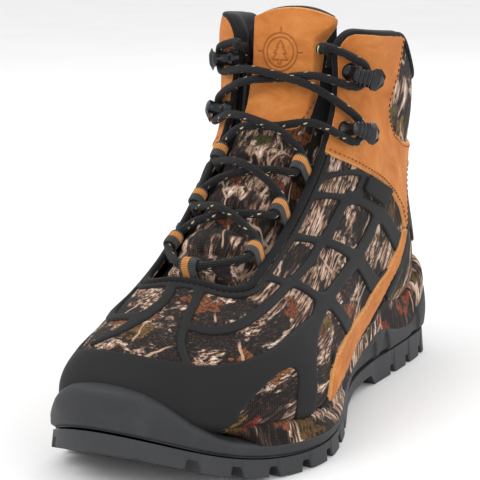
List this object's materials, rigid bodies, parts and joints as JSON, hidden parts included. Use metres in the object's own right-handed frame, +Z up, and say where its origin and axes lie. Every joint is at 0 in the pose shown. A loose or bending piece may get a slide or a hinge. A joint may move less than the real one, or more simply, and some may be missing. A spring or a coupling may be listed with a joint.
{
  "type": "insulated hunting boot",
  "caption": "Left ankle-high insulated hunting boot: lugged rubber sole, camouflage fabric upper with moulded web and nubuck flaps, laced front, tilting padded tongue.",
  "frame": {"origin": "middle of the boot's box, on the ground under the tread", "axes": "+Z up, -Y towards the toe, +X towards the outer side of the left foot"},
  "size_m": [0.126, 0.313, 0.213],
  "materials": {
    "rubber": "satin moulded rubber",
    "camo_fabric": "printed ribbed camouflage fabric",
    "nubuck_leather": "matt tan nubuck with brown stitching",
    "moulded_overlay": "matt moulded film",
    "lining_fabric": "black padded knit",
    "wadding": "white insulation wadding",
    "footbed_foam": "grey foam with cloth top",
    "fibre_board": "pressed fibre board",
    "spring_steel": "plain spring steel",
    "webbing": "ribbed black webbing with an orange stripe",
    "hook_metal": "gloss black painted steel",
    "lace_cord": "round braided black cord with beige flecks",
    "aglet_plastic": "clear-coated black film",
    "woven_tag": "woven black tag with a plain light stripe pattern"
  },
  "bodies": {
    "boot": {"outsole": "rubber", "midsole": "rubber", "rand_outer": "camo_fabric", "rand_inner": "camo_fabric", "shank": "spring_steel", "insole_board": "fibre_board", "footbed": "footbed_foam", "toe_puff": "fibre_board", "heel_counter": "fibre_board", "insulation": "wadding", "lining": "lining_fabric", "vamp": "camo_fabric", "quarter_outer": "camo_fabric", "quarter_inner": "camo_fabric", "heel_panel": "camo_fabric", "collar_back_panel": "camo_fabric", "collar_binding": "lining_fabric", "leather_flap_outer": "nubuck_leather", "leather_flap_inner": "nubuck_leather", "leather_strip_outer": "nubuck_leather", "leather_strip_inner": "nubuck_leather", "heel_overlay": "moulded_overlay", "web_overlay_outer": "moulded_overlay", "web_overlay_inner": "moulded_overlay", "toe_cap": "moulded_overlay", "vamp_ribs": "moulded_overlay", "placket": "moulded_overlay", "side_tag": "woven_tag", "lace_loop_bottom": "webbing", "lace_loop_outer_1": "webbing", "lace_loop_outer_2": "webbing", "lace_loop_outer_3": "webbing", "lace_loop_inner_1": "webbing", "lace_loop_inner_2": "webbing", "lace_loop_inner_3": "webbing", "hook_outer_1": "hook_metal", "hook_outer_2": "hook_metal", "hook_inner_1": "hook_metal", "hook_inner_2": "hook_metal", "lace": "lace_cord", "aglet_inner": "aglet_plastic", "aglet_outer": "aglet_plastic"},
    "tongue": {"tongue": "camo_fabric", "tongue_leather": "nubuck_leather"}
  },
  "joints": [
    {"name": "tongue_tilt", "type": "hinge", "parent": "boot", "child": "tongue", "pos_m": [-0.006, -0.07, 0.078], "axis": [1, 0, 0], "range_deg": [-12, 0], "stiffness_Nm_per_rad": 0.5, "springref_deg": 11.46}
  ]
}
